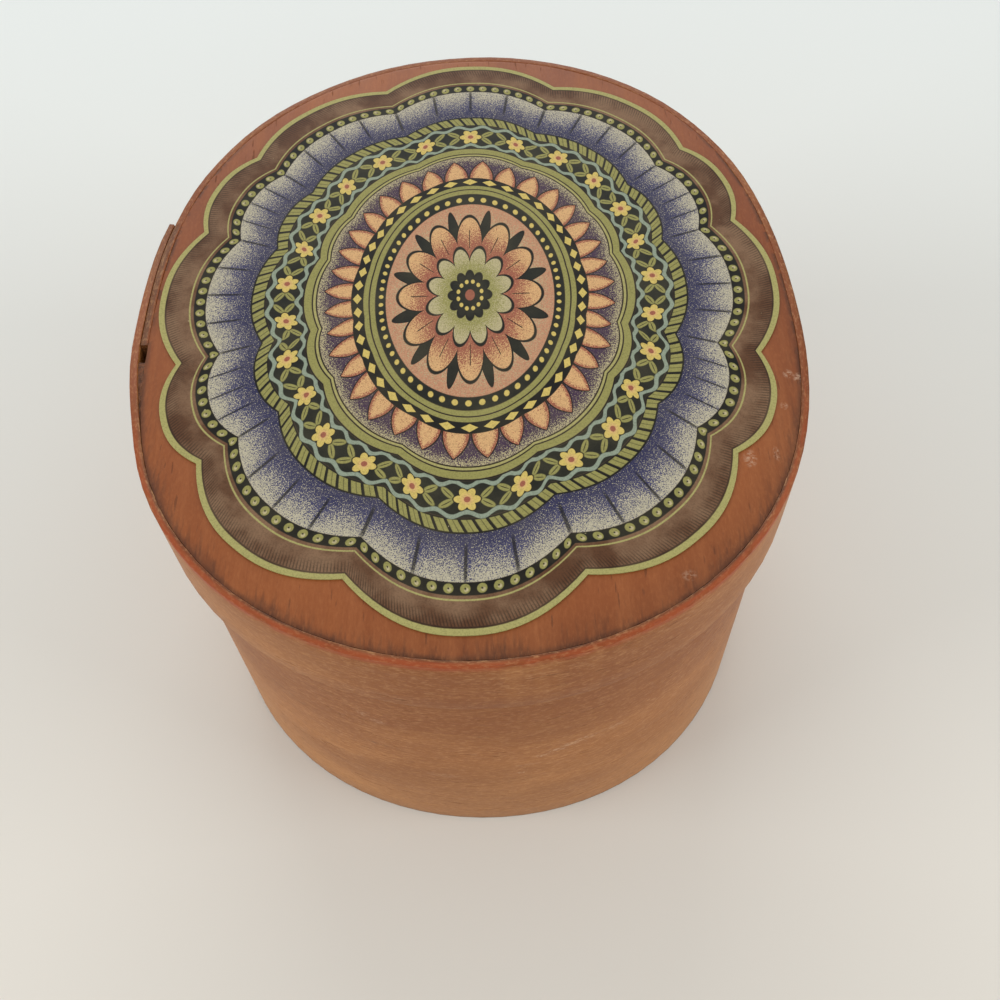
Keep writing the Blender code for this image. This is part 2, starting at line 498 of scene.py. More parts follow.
def bend_along(strip, points):
    """Bend a flat strip so that its middle follows a line of points."""
    path = bpy.data.curves.new("former", "CURVE")
    path.dimensions = "3D"
    path.twist_mode = "Z_UP"
    line = path.splines.new("POLY")
    line.points.add(len(points) - 1)
    for knot, point in zip(line.points, points):
        knot.co = (*point, 1.0)
    former = bpy.data.objects.new("former", path)
    bpy.context.scene.collection.objects.link(former)
    bend = strip.modifiers.new("bend", "CURVE")
    bend.object = former
    bend.deform_axis = "POS_X"
    bpy.ops.object.modifier_apply(modifier=bend.name)
    bpy.data.objects.remove(former, do_unlink=True)


show("Once round the lid:", path_length(run_points(0.0, TURN, lambda run: 0.0)))

# %% [markdown]
# ### Lid band
#
# The lid's strip starts at the inner end of its lap, goes once round clockwise, climbs over its
# own start and stops proud on the left, at an end sanded a little thinner. A noise lowers its top
# edge here and there, because the rim is worn unevenly.

# %% Lid strip's path and shape
LAP_SPAN, LAP_CLIMB = math.radians(29.0), math.radians(20.0)
LAP_TAPER, LAP_TIP = math.radians(6.0), 0.00075
GLUE_LINE = 0.0001
RIM_WEAR = 0.14 * MM


def climb(run):
    """Climb of the lid's strip over its own start, after a run in radians."""
    return smooth_step(1 - (TURN - run) / LAP_CLIMB) * (STRIP + GLUE_LINE)


lid_height = RIM - LID_LOW
lid_run = TURN + LAP_SPAN
lid_path = run_points(LAP_INNER_AZ, lid_run, lambda run: climb(run) - STRIP / 2)
lid_length = path_length(lid_path)


def shape_lid_strip(co):
    """Thin the outer end, and wear the rim."""
    to_end = (lid_length - co.x) / (LAP_TAPER * lid_length / lid_run)
    thin = 1 - smooth_step(1 - to_end) * (1 - LAP_TIP / STRIP)
    worn = noise.noise(Vector((co.x * 90, 0.3, co.y * 300))) + 0.4
    near_rim = smooth_step((co.z - lid_height) / MM + 1)
    return Vector((co.x, (co.y + STRIP / 2) * thin - STRIP / 2,
                   co.z - near_rim * RIM_WEAR * max(worn, 0)))


show("Lid strip, flat:", lid_length, lid_height)

# %% [markdown]
# ### Marks on the lid's strip
#
# The rim took the board's stain, and use has marked it. Along the front the strip is darker, which
# is painted shade, the rim's outer edge is rubbed red, and grime sits in its inner half. On the
# right the outer edge is dark. At the lap the rim is greyer, with old glue between the two layers
# and at the outer end. All are painted by the flat coordinates: `x` along the strip from its inner
# end,
# `y` outwards through it, and `z` up to the rim.

# %% Marks on the lid's strip
RIM_RED, LAP_PINK, OLD_GLUE = srgb(152, 69, 30), srgb(146, 84, 56), srgb(88, 56, 35)
LAP_LENGTH = LAP_SPAN * WIDTH / 2
RUBBED_FROM, RUBBED_TO = 195 * MM, 288 * MM
SHADE_RISE, SHADE_FALL = (195 * MM, 225 * MM), (242 * MM, 276 * MM)
DARK_FROM, DARK_FADE = 140 * MM, 12 * MM


def along_front(x):
    """1 along the front, which hands have rubbed most."""
    return x.ramp(RUBBED_FROM - 30 * MM, RUBBED_FROM) * (1 - x.ramp(RUBBED_TO, RUBBED_TO + 20 * MM))


def rim_wander(x, y):
    """Soft noise that runs along the rim."""
    return smudge(x, y, 260, 900, 2.2)


def rub_red(colour, x, y, z, strength=0.55):
    """Paint the rim's outer edge red along the front."""
    edge = z.ramp(lid_height - 1.3 * MM, lid_height - 0.3 * MM) * y.ramp(-0.4 * MM, 0.1 * MM)
    rubbed = rim_wander(x, y).ramp(0.22, 0.60)
    return colour.paint(edge * along_front(x) * rubbed * strength, RIM_RED)


def rim_marks(colour, x, y, z):
    """Paint shade on the front of the strip, the rim's stain and its marks."""
    at_rim = z.ramp(lid_height - 0.35 * MM, lid_height - 0.05 * MM)
    wander, in_front = rim_wander(x, y), along_front(x)
    # Painted shade darkens the front of the strip.
    shaded_front = x.ramp(*SHADE_RISE) * (1 - x.ramp(*SHADE_FALL))
    colour = colour.paint(shaded_front * wander.ramp(0.10, 0.50) * 0.9, PAINTED_SHADE)
    colour = colour.paint(at_rim, BOARD_TONES[0])
    colour = rub_red(colour, x, y, z, 0.9)
    grimy = at_rim * in_front * (1 - y.ramp(-0.45 * MM, 0.15 * MM))
    colour = colour.paint(grimy * (wander.ramp(0.35, 0.65) * 0.5 + 0.3), GRIME_AND_SHADE)
    on_right = x.between(DARK_FROM, RUBBED_FROM, DARK_FADE) * at_rim * y.ramp(0.0, 0.4 * MM)
    colour = colour.paint(on_right * 0.45, GRIME_AND_SHADE)
    outer_lap = x.ramp(lid_length - LAP_LENGTH - 20 * MM, lid_length - LAP_LENGTH)
    colour = colour.paint(outer_lap * at_rim * 0.7, LAP_PINK)
    lap_end = x.ramp(lid_length - 18 * MM, lid_length - 5 * MM)
    colour = colour.paint(lap_end * at_rim * 0.5, OLD_GLUE)
    inner_lap = (1 - x.ramp(LAP_LENGTH - MM, LAP_LENGTH + MM)) * at_rim
    colour = colour.paint(inner_lap * y.ramp(-0.4 * MM, -0.1 * MM) * 0.8, OLD_GLUE)
    return colour.paint((1 - x.ramp(0.1 * MM, 0.7 * MM)) * 0.7, GRIME_AND_SHADE)


lid_band_wood = wood_finish("lid_band_wood", BAND_TONES, 0.0, bent=True, extra=rim_marks,
                            last=rub_red)

# %% [markdown]
# Now the lid's strip is made flat, given its flat coordinates, shaped, bent, and lifted to the
# lid's height.

# %% Lid band
lid_band = flat_strip("lid_band_bent", lid_length, lid_height)
keep_flat_place(lid_band, Vector((0, 0, 0)))
move_points(lid_band, shape_lid_strip)
bend_along(lid_band, lid_path)
move_points(lid_band, lambda co: co + Vector((0, 0, LID_LOW)))
finish_piece(lid_band, "lid", "lid_band", lid_band_wood)

# %% [markdown]
# ### Base band
#
# The lid has to slide over the base, so the base's strip can't have a step. Both of its ends are
# skived to a thin tip at the back, one on its outer face and one on its inner, and lie on each
# other within the thickness of one strip.

# %% Base strip's path and shape
LID_PLAY = 0.0006
SKIVE_AZ, SKIVE_SPAN = math.radians(96.0), math.radians(26.0)
SKIVE_TIP = STRIP / 4
SKIVE_LINE = 0.03 * MM

base_middle = -(STRIP + LID_PLAY) - STRIP / 2
base_run = TURN + SKIVE_SPAN
base_path = run_points(SKIVE_AZ, base_run, lambda run: base_middle)
base_length = path_length(base_path)
skive_length = SKIVE_SPAN * base_length / base_run


def shape_base_strip(co):
    """Skive the outer face at the start and the inner face at the end."""
    share = (co.y + STRIP / 2) / STRIP
    rise = (STRIP - 2 * SKIVE_TIP) / skive_length
    from_start, to_end = co.x, base_length - co.x
    if from_start < skive_length:
        return Vector((co.x, share * (SKIVE_TIP + rise * from_start) - STRIP / 2, co.z))
    if to_end < skive_length:
        left = SKIVE_TIP + rise * to_end - SKIVE_LINE
        return Vector((co.x, STRIP / 2 - (1 - share) * left, co.z))
    return co


show("Base strip, flat:", base_length, BASE_TOP)

# %% [markdown]
# ### Marks on the base's strip
#
# The upper part of the base is darker in soft clouds, which is painted shade, and its foot is
# paler, which is painted light, with a thin dark line of painted shadow where it stands. A pale
# scrape rises to the right low on the front, with fainter rubs round it and a few dark marks
# further left.
# Each mark lies at a length along the flat strip and a height on it.

# %% Marks on the base's strip
BASE_SHIFT = Vector((1.0, 0, 0.3))
PALE_MARKS = ((149.0, 25.4, 1.8, 0.6, 0.55), (147.2, 26.4, 1.8, 0.6, 0.55),
              (145.2, 27.4, 2.0, 0.7, 0.5), (142.8, 28.0, 2.4, 0.8, 0.35),
              (139.0, 28.2, 2.6, 0.9, 0.25), (151.4, 22.6, 2.6, 0.6, 0.25),
              (152.2, 19.8, 1.0, 0.5, 0.4), (163.0, 19.0, 3.4, 0.9, 0.2),
              (173.0, 37.3, 0.9, 1.0, 0.3), (171.0, 35.9, 1.5, 1.0, 0.3))
DARK_MARKS = ((183.4, 30.4, 1.5, 0.5, 0.6), (185.6, 31.0, 1.5, 0.5, 0.6),
              (187.4, 31.5, 1.5, 0.5, 0.6), (172.6, 27.2, 1.8, 0.35, 0.5),
              (170.0, 27.2, 2.0, 0.35, 0.5), (157.1, 34.7, 1.3, 0.5, 0.35))


def side_marks(colour, x, y, z):
    """Paint shade on the upper part, light on the foot, a shadow line where it stands, scrapes and
    dark marks.
    """
    x, z = x - BASE_SHIFT.x, z - BASE_SHIFT.z
    height = z + (smudge(x, z, 45, 70, 4.4) - 0.5) * (30 * MM)
    # Painted shade darkens the upper part of the base.
    colour = colour.paint(height.ramp(14 * MM, 46 * MM) * 0.85, PAINTED_SHADE)
    # Painted light from the floor makes the foot paler.
    colour = colour.paint((1 - height.ramp(0.0, 24 * MM)) * 0.30, BAND_TONES[2])
    colour = worn_spots(colour, x, z, PALE_MARKS, SCUFF)
    colour = worn_spots(colour, x, z, DARK_MARKS, GRIME_AND_SHADE)
    # A thin line of painted shadow where the base stands on the floor.
    return colour.paint((1 - z.ramp(0.05 * MM, 0.45 * MM)) * 0.7, GRIME_AND_SHADE)


base_band_wood = wood_finish("base_band_wood", BAND_TONES, 2.0, bent=True, extra=side_marks)

# %% [markdown]
# The base's strip is made as the lid's was. Its flat coordinates are shifted by a metre, so that
# its grain isn't the lid's over again.

# %% Base band
base_band = flat_strip("base_band_bent", base_length, BASE_TOP)
keep_flat_place(base_band, BASE_SHIFT)
move_points(base_band, shape_base_strip)
bend_along(base_band, base_path)
finish_piece(base_band, "base", "base_band", base_band_wood)

# %% [markdown]
# ## The boards
#
# Each board is sawn to the oval and pressed into its strip. It starts as a filled circle, whose
# vertices are sent to the oval, is extruded to its thickness, and has its edges bevelled.
# The fit isn't perfect: a thin dark line shows between board and strip, wider at the front.
# The broad faces are inset a few times, and each vertex keeps its distance from the edge as an
# attribute, which the grime beside the joint follows.

# %% Cutting a board
BOARD_STEPS = 300
FINEST_JOINT, WIDEST_JOINT = 0.01 * MM, 0.06 * MM
BOARD_EASE = 0.05 * MM
RIM_RINGS = 0.4 * MM, 0.8 * MM, 1.6 * MM, 3.2 * MM


def joint_width(azimuth):
    """Uneven gap between a board and its strip, widest at the front and the left."""
    wander = noise.noise(Vector((math.cos(azimuth) * 22, math.sin(azimuth) * 22, 2.5)))
    front = 0.45 - 0.35 * math.sin(azimuth + math.radians(15))
    return FINEST_JOINT + (WIDEST_JOINT - FINEST_JOINT) * min(max(front + wander, 0), 1)


def oval_board(name, offset, low, top):
    """Board cut to the oval at an offset, from a low to a top height."""
    clear_selection()
    bpy.ops.mesh.primitive_circle_add(vertices=BOARD_STEPS, radius=1, fill_type="NGON",
                                      location=(0, 0, 0))
    board = name_piece(name)

    def on_oval(co):
        azimuth = math.atan2(co.y, co.x)
        point = rim_point(azimuth, offset - joint_width(azimuth))
        return Vector((point.x, point.y, top))

    move_points(board, on_oval)
    set_mode("EDIT")
    bpy.ops.mesh.select_all(action="SELECT")
    bpy.ops.mesh.extrude_region_move(TRANSFORM_OT_translate={"value": (0, 0, low - top)})
    pick_edges(board, lambda middle, way: abs(way.z) < 0.5
               and min(abs(middle.z - low), abs(middle.z - top)) < TINY)
    bpy.ops.mesh.bevel(offset=BOARD_EASE, segments=3, affect="EDGES")
    bpy.ops.mesh.select_all(action="SELECT")
    bpy.ops.mesh.normals_make_consistent(inside=False)
    pick(board, "FACE", lambda face: len(face.verts) == BOARD_STEPS)
    for width in RIM_RINGS:
        bpy.ops.mesh.inset(thickness=width)
    set_mode("OBJECT")
    from_edge = board.data.attributes.new("from_edge", "FLOAT", "POINT")
    for vertex, kept in zip(board.data.vertices, from_edge.data):
        radius = oval_radius(math.atan2(vertex.co.y, vertex.co.x)) + offset
        kept.value = min(radius - vertex.co.xy.length, sum(RIM_RINGS))
    return board


show("Joint, front and back:", joint_width(-math.pi / 2), joint_width(math.pi / 2))

# %% [markdown]
# ### Grime and scuffs on the lid's board
#
# Dirt has crept into the end grain beside the joint, most along the front, where it darkens the
# board in short marks. The front right is darker as a whole, and has a few pale scuffs. The
# joint's soft dark line is painted too: the real gap is full of old dirt.

# %% Both boards
BOARD_SCUFFS = ((25.7, -42.4, 1.1, 0.9, 0.28), (41.7, -13.0, 0.8, 0.9, 0.5),
                (42.9, -13.7, 0.8, 1.0, 0.5), (40.4, -18.2, 0.6, 0.7, 0.5),
                (35.0, -26.2, 1.0, 1.6, 0.5), (38.3, -25.6, 0.5, 1.3, 0.5))
FRONT_FADE, RIGHT_FADE, BACK_FADE = (-30 * MM, 10 * MM), (-25 * MM, 5 * MM), (26 * MM, 44 * MM)


def grimy_edge(colour, x, y, z):
    """Paint the grime beside the joint, the joint's own line and the scuffs."""
    edge = colour.node("Attribute", {}, output=2, attribute_name="from_edge")
    marks = smudge(x, y, 2100, 300, 3.3, 2.0, 0.5)
    cloud = smudge(x, y, 140, 140, 8.8, 2.0, 0.5)
    in_front = 1 - y.ramp(*FRONT_FADE)
    reach = edge + (cloud - 0.5) * (4 * MM)
    colour = colour.paint((1 - reach.ramp(0.0, 1.4 * MM)) * (0.06 + in_front * 0.40), GRIME_AND_SHADE)
    on_right = in_front * x.ramp(*RIGHT_FADE)
    colour = colour.paint((1 - edge.ramp(0.5 * MM, 6.0 * MM)) * on_right * 0.26, GRIME_AND_SHADE)
    beside = 1 - reach.ramp(0.5 * MM, 3.2 * MM)
    colour = colour.paint(beside * in_front * marks.ramp(0.46, 0.66) * 0.44, GRIME_AND_SHADE)
    dotted = smudge(x, y, 520, 520, 5.5, 2.0, 0.5)
    broken = dotted.ramp(0.42, 0.54) * (1 - y.ramp(*BACK_FADE)) * 0.85
    joint = 1 - edge.ramp(0.10 * MM, 0.75 * MM)
    colour = colour.paint(joint * (in_front * 0.7 + (1 - in_front) * broken), GRIME_AND_SHADE)
    return worn_spots(colour, x, y, BOARD_SCUFFS, SCUFF)


lid_board_wood = wood_finish("lid_board_wood", BOARD_TONES, 4.0, extra=grimy_edge)
lid_board = oval_board("lid_board", -STRIP, BOARD_LOW, BOARD_TOP)
finish_piece(lid_board, "lid", "lid_top", lid_board_wood)

floor_board = oval_board("floor_board", base_middle - STRIP / 2, 0.0, FLOOR_TOP)
finish_piece(floor_board, "base", "base_floor", floor_wood)

# %% [markdown]
# ### Old glue beside the lap
#
# Where the lid's strip climbs over its own inner end, a wedge is left between strip and board.
# The real one is filled with old glue and wood dust, all but a short slot next to the inner end.
# It is a cube, cut into short lengths, with one side sent to the board and one to the strip.

# %% Lap filler
FILLER_START, FILLER_END = math.radians(189.5), math.radians(206.0)
FILLER_TOP, FILLER_DEEP = RIM - 0.45 * MM, 2.2 * MM
FILLER_PARTS = 48
HAIRLINE = 0.02 * MM

clear_selection()
bpy.ops.mesh.primitive_cube_add(size=1, location=(0.5, 0.5, 0.5))
filler = name_piece("lap_filler")
set_mode("EDIT")
pick_edges(filler, lambda middle, way: abs(way.x) > 0.5)
bpy.ops.mesh.subdivide(number_cuts=FILLER_PARTS)
pick_edges(filler, lambda middle, way: abs(way.y) > 0.5)
bpy.ops.mesh.subdivide(number_cuts=2)
set_mode("OBJECT")


def into_wedge(co):
    """Send a cube of side 1 to the wedge: X along the lap, Y from the board out to the strip."""
    azimuth = FILLER_START + (FILLER_END - FILLER_START) * co.x
    inner = -STRIP - joint_width(azimuth) + HAIRLINE
    outer = climb(TURN - (azimuth - LAP_INNER_AZ)) - STRIP - HAIRLINE
    lump = noise.noise(Vector((co.x * 14, co.y * 2, 1.7))) * 0.16 * MM
    place = rim_point(azimuth, inner + (max(outer, inner + HAIRLINE) - inner) * co.y)
    place.z = FILLER_TOP - FILLER_DEEP * (1 - co.z) + lump * co.z
    return place


move_points(filler, into_wedge)
set_mode("EDIT")
bpy.ops.mesh.select_all(action="SELECT")
bpy.ops.mesh.normals_make_consistent(inside=False)
set_mode("OBJECT")

DARK_GLUE, PALE_GLUE = srgb(84, 51, 32), srgb(138, 88, 56)
glue, glue_shader, glue_place = new_finish("old_glue")
lumps = glue_place.grain(1500, 4.0, 0.65)
feed(glue_shader, "Base Color", lumps.ramp(0.35, 0.65).mixed(DARK_GLUE, PALE_GLUE))
feed(glue_shader, "Roughness", 0.6 + lumps * 0.3)
feed(glue_shader, "Normal", relief(lumps, 0.15 * MM))
finish_piece(filler, "lid", None, glue)

# %% [markdown]
# ## The paper label
#
# The label is die-cut with twelve lobes. Its printing follows the cut edge at the outside and
# turns step by step into a plain oval round the middle. To print like that, the sheet needs a
# map of its own. The first step is a rule that places any spot from two numbers: how far round
# it lies, in lobes, and its share of the way from the middle to the edge.

# %% Label outline
LABEL_CUSPS = ((-71.5, 4.3), (-37.6, 2.4), (-14.5, 3.0), (20.9, 2.5), (43.1, 1.65), (73.5, 2.9))
LABEL_HALVES = 42.7 * MM, 50.65 * MM
LOBE_FULLNESS = 2.3
FRAME_HALVES = 13.2 * MM, 20.2 * MM
FRAME_SHARE = 0.30
FRAME_CENTRE = Vector((0.3 * MM, 1.2 * MM, 0))

cusps = [(math.radians(azimuth), depth * MM) for azimuth, depth in LABEL_CUSPS]
cusps += [(math.pi - azimuth, depth) for azimuth, depth in reversed(cusps)]
cusps.append((cusps[0][0] + TURN, cusps[0][1]))
lobes = len(cusps) - 1


def on_ellipse(azimuth, half_width, half_length, inside=0.0):
    """Point of an ellipse at an azimuth, moved inwards along its radius."""
    out = Vector((math.cos(azimuth), math.sin(azimuth), 0))
    return out * (1 / math.hypot(out.x / half_width, out.y / half_length) - inside)


def lobed_edge(around):
    """Point of the cut edge, for a way round of 0 to 12 lobes."""
    lobe = min(int(around), lobes - 1)
    along = around - lobe
    (azimuth, depth), (next_azimuth, next_depth) = cusps[lobe], cusps[lobe + 1]
    start = on_ellipse(azimuth, *LABEL_HALVES, depth)
    end = on_ellipse(next_azimuth, *LABEL_HALVES, next_depth)
    crest = on_ellipse((azimuth + next_azimuth) / 2, *LABEL_HALVES)
    rise = 1 - abs(2 * along - 1) ** LOBE_FULLNESS
    return start + (end - start) * along + (crest - (start + end) / 2) * rise


def label_point(around, share):
    """Place on the label at a way round in lobes and a share of the way to the edge."""
    edge = lobed_edge(around)
    azimuth = math.atan2(edge.y, edge.x)
    frame_edge = FRAME_CENTRE + on_ellipse(azimuth, *FRAME_HALVES)
    if share <= FRAME_SHARE:
        return FRAME_CENTRE.lerp(frame_edge, share / FRAME_SHARE)
    return frame_edge.lerp(edge, (share - FRAME_SHARE) / (1 - FRAME_SHARE))


print("Label lobes:", lobes)

# %% [markdown]
# ### The sheet and its maps
#
# A flat grid is rolled into a disc: its columns become spokes, twenty-four to a lobe, and its
# rows become rings. The grid's own UV map then says where a spot lies: U is the share of the way
# round, and V the share of the way out. A second map measures the way round by length, so that a
# row of small motifs is spaced evenly, however wide each lobe is.

# %% Label sheet
LABEL_SHIFT, LABEL_TURN = 1.2 * MM, math.radians(-0.7)
LOBE_COLUMNS = 24
RINGS = 48
MEASURED_AT = 0.75
SAME_SPOT = 1e-6

clear_selection()
columns = lobes * LOBE_COLUMNS
bpy.ops.mesh.primitive_grid_add(x_subdivisions=columns, y_subdivisions=RINGS, size=1,
                                location=(0, 0, 0))
label = name_piece("label_sheet")
label.data.uv_layers[0].name = "print_map"

spokes = [label_point(lobes * column / columns, MEASURED_AT) for column in range(columns + 1)]
even_share = [path_length(spokes[:column + 1]) / path_length(spokes)
              for column in range(columns + 1)]
label.data.uv_layers.new(name="even_map")
for corner, evenly in zip(*(layer.data for layer in label.data.uv_layers)):
    column = round((1 - corner.uv.x) * columns)
    corner.uv.x = column / columns
    evenly.uv = (even_share[column], corner.uv.y)

turn_label = Matrix.Rotation(LABEL_TURN, 3, "Z")


def roll_out(co):
    """Send a spot of the flat grid to its place on the label."""
    flat_place = label_point(lobes * (0.5 - co.x), co.y + 0.5)
    return turn_label @ flat_place + Vector((0, LABEL_SHIFT, LABEL_LOW))


move_points(label, roll_out)
set_mode("EDIT")
bpy.ops.mesh.select_all(action="SELECT")
bpy.ops.mesh.remove_doubles(threshold=SAME_SPOT)
set_mode("OBJECT")
sheet = label.modifiers.new("paper", "SOLIDIFY")
sheet.thickness = LABEL_TOP - LABEL_LOW
sheet.offset = 1.0
bpy.ops.object.modifier_apply(modifier=sheet.name)
print("Label faces up:", label.data.polygons[0].normal.z > 0)

# %% [markdown]
# ## The label's printing
#
# Such labels were printed in a few flat inks with stippled shading. The design here is a plain
# ornamental one in that manner: rings of traditional borders with a rosette in the middle. It is
# drawn from the outside in. `deep` is the distance from the cut edge in millimetres, and each
# ring paints over the colour so far. A row of motifs is one motif in a cell that repeats.

# %% Inks and coordinates of the print
OLIVE, PALE_OLIVE = srgb(146, 141, 80), srgb(166, 159, 98)
INK, LEAF_GREEN = srgb(14, 13, 8), srgb(24, 26, 18)
BROWN, PALE_BROWN = srgb(90, 58, 36), srgb(126, 94, 70)
CREAM, ROSE, PEACH = srgb(183, 171, 130), srgb(188, 134, 102), srgb(213, 169, 116)
BLUE, DEEP_BLUE, PURPLE = srgb(66, 66, 100), srgb(46, 46, 78), srgb(66, 46, 68)
MIST, TERRACOTTA, YELLOW = srgb(140, 152, 132), srgb(154, 89, 68), srgb(207, 183, 99)
PEARL = srgb(187, 179, 153)
SOFT = 0.07
PRINT_DEPTH = 29.5
OUTER_ROUND, INNER_ROUND = 294.0, 106.0

label_print, label_shader, label_place = new_finish("label_print")
around, share, _ = label_place.node("UVMap", {}, uv_map="print_map").parts()
even, _, _ = label_place.node("UVMap", {}, uv_map="even_map").parts()
deep = (1 - share) * (PRINT_DEPTH / (1 - FRAME_SHARE))
lobe_count = around * lobes
paper_grain = label_place.grain(5200, 2.0, 0.6)
dots = label_place.grain(7500, 1.0, 0.5)
paper_cloud = label_place.grain(160, 3.0, 0.6)


def cell(count, at_depth):
    """Signed distance in millimetres from the middle of the nearest of a row of motifs."""
    length = OUTER_ROUND + (INNER_ROUND - OUTER_ROUND) * at_depth / PRINT_DEPTH
    return ((even * count).math("FRACT") - 0.5) * (length / count)


def ring(colour, low, high, ink):
    """Paint a plain ring between two depths."""
    return colour.paint(deep.between(low, high, SOFT), ink)


def stipple(tone):
    """1 where dots of ink fall, more thickly where the tone is near 1."""
    return (tone + (dots - 0.5) * 3.0).ramp(0.28, 0.72)


def disc(across, down, radius):
    """1 inside a dot."""
    distance = (across * across + down * down).math("SQRT")
    return 1 - distance.ramp(radius - SOFT, radius + SOFT)


show("Depth of the printed rings:", PRINT_DEPTH * MM)

# %% [markdown]
# ### Edge, margin and beads
#
# A pale line follows the cut edge, then a mottled brown margin, hatched near the line, and a
# string of beads on black. Each bead is a dot with a glint and a pierced middle.

# %% Edge, margin and beads
EDGE_LINE, EDGE_SHADE, INNER_LINE = (-1, 0.80), (0.80, 1.04), (4.10, 4.32)
HATCHES = 700
printed = paper_cloud.ramp(0.35, 0.65).mixed(BROWN, PALE_BROWN)
printed = ring(printed, *EDGE_LINE, PALE_OLIVE)
printed = printed.paint(deep.between(*EDGE_SHADE, SOFT) * 0.65, INK)
hatch = ((even * HATCHES).math("FRACT") + deep * 0.8).math("FRACT").ramp(0.45, 0.75)
printed = printed.paint(hatch * deep.ramp(1.0, 1.1) * (1 - deep.ramp(1.4, 3.4)) * 0.55, INK)
printed = ring(printed, *INNER_LINE, PALE_OLIVE)

BEADS, BEAD_DEPTH, BEAD_RING = 130, 5.6, (4.75, 6.4)
printed = ring(printed, *BEAD_RING, INK)
bead_x, bead_y = cell(BEADS, BEAD_DEPTH), deep - BEAD_DEPTH
printed = printed.paint(disc(bead_x, bead_y, 0.60), OLIVE)
printed = printed.paint(disc(bead_x - 0.12, bead_y + 0.14, 0.26), CREAM)
printed = printed.paint(disc(bead_x, bead_y, 0.12), INK)
print("Beads:", BEADS, "hatches:", HATCHES)

# %% [markdown]
# ### Pleated field and rope
#
# The blue field is pleated like a shell, four pleats to a lobe, and stippled from pearl to blue
# by a fine noise, cut at a level that the tone sets. A twisted rope closes it, whose
# strands slant because the depth is added to the way round.

# %% Pleated field and rope
PLEATS, FIELD, CREASE = 4, (6.4, 12.6), (6.4, 11.0)
pleat = (lobe_count * PLEATS).math("FRACT") * 2 - 1
fold = abs(pleat) ** 3
tone = (deep + fold * 1.8).ramp(5.6, 12.4) * 0.86 + 0.12
blue_ink = deep.ramp(8.5, 12.5).mixed(BLUE, DEEP_BLUE)
pleated = blue_ink.paint(1 - stipple(tone), PEARL)
crease = abs(pleat).ramp(0.90, 0.96) * deep.between(*CREASE, 0.8)
pleated = pleated.paint(crease * 0.8, INK)
printed = printed.paint(deep.between(*FIELD, SOFT), pleated)

TWISTS, ROPE_RING, ROPE = 120, (12.5, 14.6), (12.75, 14.35)
printed = ring(printed, *ROPE_RING, INK)
twist = (even * TWISTS + deep * 0.32).math("FRACT")
rope = deep.between(*ROPE, SOFT) * twist.ramp(0.20, 0.30)
printed = printed.paint(rope, OLIVE)
printed = printed.paint(rope * twist.between(0.62, 0.68, 0.04) * 0.7, INK)
print("Pleats:", lobes * PLEATS, "twists:", TWISTS)

# %% [markdown]
# ### Garland
#
# Small daisies with a sprig of four leaves between each two, on a nearly black ground that is
# edged with a misty wave.

# %% Garland
DAISIES, GARLAND, GARLAND_RING, WAVE = 26, 17.1, (14.6, 19.6), (1.75, 2.35)
printed = ring(printed, *GARLAND_RING, LEAF_GREEN)
daisy_x, daisy_y = cell(DAISIES, GARLAND), deep - GARLAND
wave = (even * (DAISIES * 2 * TURN)).math("COSINE") * 0.35
from_middle = abs(daisy_y)
printed = printed.paint((from_middle + wave).between(*WAVE, SOFT), MIST)

LEAN, LEAF_OUT, LEAF_UP = math.radians(38), 2.45, 0.72
leaf_x = abs(daisy_x) - LEAF_OUT
leaf_y = from_middle - LEAF_UP
leaf_long = leaf_x * math.cos(LEAN) + leaf_y * math.sin(LEAN)
leaf_wide = leaf_y * math.cos(LEAN) - leaf_x * math.sin(LEAN)
printed = printed.paint(disc(leaf_long * 0.42, leaf_wide, 0.44), OLIVE)
printed = printed.paint(disc(leaf_long * 0.45, leaf_wide * 5.0, 0.34) * 0.85, INK)

PETALS, PETAL_CUT, PETAL_LEAST = 6, 0.62, 0.98
daisy_angle = daisy_y.math("ARCTAN2", daisy_x)
daisy_far = (daisy_x * daisy_x + daisy_y * daisy_y).math("SQRT")
swell = abs((daisy_angle * (PETALS / 2)).math("COSINE"))
past_petal = daisy_far - (swell * PETAL_CUT + PETAL_LEAST)
printed = printed.paint(1 - past_petal.ramp(0.12, 0.26), INK)
printed = printed.paint(1 - past_petal.ramp(-0.05, 0.10), YELLOW)
printed = printed.paint((1 - daisy_far.ramp(0.35, 1.05)) * 0.7, PEACH)
printed = printed.paint(1 - daisy_far.ramp(0.34, 0.46), TERRACOTTA)
print("Daisies:", DAISIES)

# %% [markdown]
# ### Inner borders
#
# A double olive line, a purple field, a ring of pointed petals that overlap it, and a dark ring of
# lozenges. The petals shade from terracotta at their edge to peach.

# %% Inner borders
DOUBLE_LINE = ((19.6, 19.85, INK), (19.85, 20.9, OLIVE), (20.9, 21.1, INK),
               (21.1, 21.45, PALE_OLIVE), (21.45, 21.65, INK))
PURPLE_RING, LOZENGE_RING = (21.65, 25.9), (26.3, 28.0)
LAST_LINES = (28.0, 28.7, OLIVE), (28.7, 28.9, INK), (28.9, 29.6, OLIVE)
for border in DOUBLE_LINE:
    printed = ring(printed, *border)
purple_field = stipple(deep.ramp(20.6, 24.0) * 0.9 + 0.1).mixed(CREAM, PURPLE)
printed = printed.paint(deep.between(*PURPLE_RING, SOFT), purple_field)

